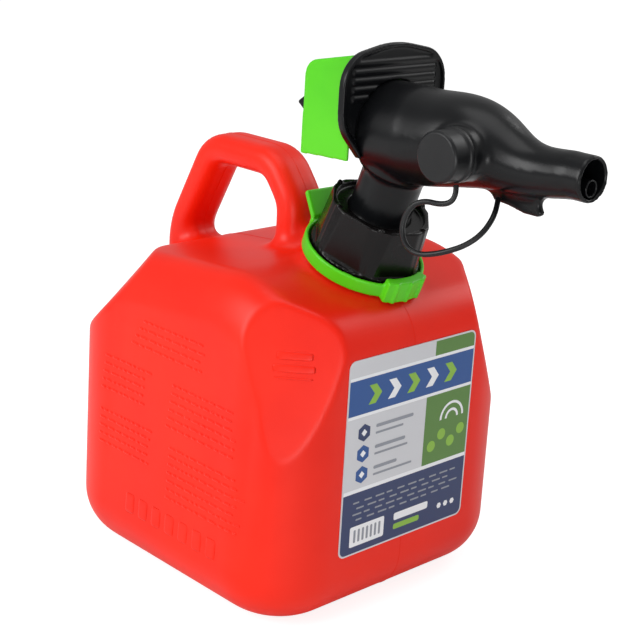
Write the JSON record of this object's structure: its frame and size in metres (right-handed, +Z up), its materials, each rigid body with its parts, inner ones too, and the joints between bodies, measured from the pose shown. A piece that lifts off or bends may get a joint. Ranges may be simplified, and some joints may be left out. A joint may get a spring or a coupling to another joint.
{
  "type": "fuel can",
  "caption": "Moulded plastic fuel can with a grip handle, lock ring, screw collar and a squeeze-button spout with a tethered dust cap.",
  "frame": {"origin": "middle of the can's flat base", "axes": "+Z up, +X towards the label and the nozzle, +Y to the side away from the dust cap"},
  "size_m": [0.2779, 0.1744, 0.2821],
  "materials": {
    "can": "satin moulded polyethylene",
    "green_trim": "semi-gloss moulding",
    "spout": "satin moulding",
    "collar": "satin moulding",
    "cap": "flexible satin moulding",
    "label": null,
    "seal": "matt nitrile rubber",
    "spring": "drawn stainless wire"
  },
  "bodies": {
    "can": {"can_body": "can", "front_label": "label", "lock_ring": "green_trim"},
    "gasket": {"neck_gasket": "seal"},
    "spout": {"spout_body": "spout", "rear_bulkhead": "spout", "rod_bush": "spout", "rod_seal": "seal", "vent_tube": "spout", "valve_seat": "spout", "hand_guard": "spout", "cap_tether": "cap"},
    "rod": {"valve_rod": "spout", "valve_disc": "spout", "valve_seal": "seal", "return_spring": "spring"},
    "button": {"trigger_button": "green_trim"},
    "collar": {"collar_nut": "collar"},
    "cap": {"dust_cap": "cap"}
  },
  "joints": [
    {"name": "lift_off", "type": "slide", "parent": "can", "child": "gasket", "axis": [0.3584, 0, 0.9336], "range_m": [0, 0.06]},
    {"name": "thread_rise", "type": "slide", "parent": "gasket", "child": "spout", "axis": [0.3584, 0, 0.9336], "range_m": [0, 0.009]},
    {"name": "collar_turn", "type": "hinge", "parent": "spout", "child": "collar", "pos_m": [0.0504, 0, 0.1719], "axis": [0.3584, 0, 0.9336], "range_deg": [0, 720]},
    {"name": "button_squeeze", "type": "slide", "parent": "spout", "child": "rod", "axis": [1, 0, 0], "range_m": [0, 0.0068], "stiffness_N_per_m": 900, "springref_m": -0.004, "deforming": ["return_spring"]},
    {"name": "button_unlock", "type": "slide", "parent": "rod", "child": "button", "axis": [0, 0, -1], "range_m": [0, 0.0035], "stiffness_N_per_m": 300, "springref_m": -0.003},
    {"name": "cap_off", "type": "slide", "parent": "spout", "child": "cap", "axis": [0, -1, 0], "range_m": [0, 0.0154]}
  ],
  "couplings": [
    {"joint": "thread_rise", "follows": "collar_turn", "m_per_rad": 0.000716}
  ]
}
